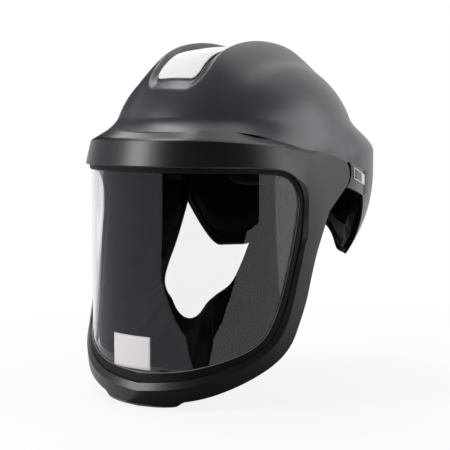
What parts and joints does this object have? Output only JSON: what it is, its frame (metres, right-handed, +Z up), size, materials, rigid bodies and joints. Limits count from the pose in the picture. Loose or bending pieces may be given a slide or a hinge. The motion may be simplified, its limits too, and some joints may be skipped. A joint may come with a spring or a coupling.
{
  "type": "powered air respirator headtop",
  "caption": "Hard helmet with a flip-up clear visor, fabric face seal, head harness with a ratchet, and ducts that carry air from a nape inlet over the crown.",
  "frame": {"origin": "middle of the visor's hinge line, at the centre of the wearer's head", "axes": "+Z up, the face looks along -Y, +X is the wearer's left"},
  "size_m": [0.2382, 0.3199, 0.3193],
  "materials": {
    "shell": "fine matte",
    "insert": "satin",
    "frame": "semi-matte",
    "nylon": "moulded",
    "rubber": "matte",
    "lens": "clear polycarbonate",
    "seal_fabric": "woven",
    "pad_fabric": "brushed foam",
    "webbing": "woven tape",
    "steel": "turned"
  },
  "bodies": {
    "helmet": {"helmet_shell": "shell", "side_cover_left": "shell", "side_cover_right": "shell", "crown_insert": "insert", "rear_duct": "frame", "hose_inlet": "frame", "pivot_bracket_left": "frame", "pivot_bracket_right": "frame", "crown_duct": "nylon", "air_diffuser": "nylon", "inlet_nut": "nylon", "friction_washer_left": "nylon", "friction_washer_right": "nylon", "headband": "nylon", "hanger_front_left": "nylon", "hanger_front_right": "nylon", "hanger_rear_left": "nylon", "hanger_rear_right": "nylon", "strap_guide_left": "nylon", "strap_guide_right": "nylon", "inlet_seal": "rubber", "sweatband": "pad_fabric", "crown_pad": "pad_fabric", "crown_strap_upper": "webbing", "crown_strap_lower": "webbing"},
    "visor": {"visor_frame": "frame", "lens_gasket": "rubber", "visor_lens": "lens", "lens_retainer": "nylon", "face_seal": "seal_fabric", "pivot_pin_left": "steel", "pivot_pin_right": "steel", "pivot_clip_left": "steel", "pivot_clip_right": "steel"},
    "cradle": {"nape_strap": "nylon", "nape_pad": "pad_fabric", "ratchet_housing": "nylon"},
    "knob": {"ratchet_knob": "frame", "ratchet_pinion": "steel"}
  },
  "joints": [
    {"name": "visor_hinge", "type": "hinge", "parent": "helmet", "child": "visor", "pos_m": [0, 0, 0], "axis": [-1, 0, 0], "range_deg": [0, 60], "deforming": ["face_seal"]},
    {"name": "cradle_slide", "type": "slide", "parent": "helmet", "child": "cradle", "axis": [0, -1, 0], "range_m": [0, 0.02]},
    {"name": "knob_turn", "type": "hinge", "parent": "cradle", "child": "knob", "pos_m": [0, 0.118, -0.012], "axis": [0, 1, 0], "range_deg": [0, 192]}
  ],
  "couplings": [
    {"joint": "knob_turn", "follows": "cradle_slide", "rad_per_m": 166.67}
  ]
}
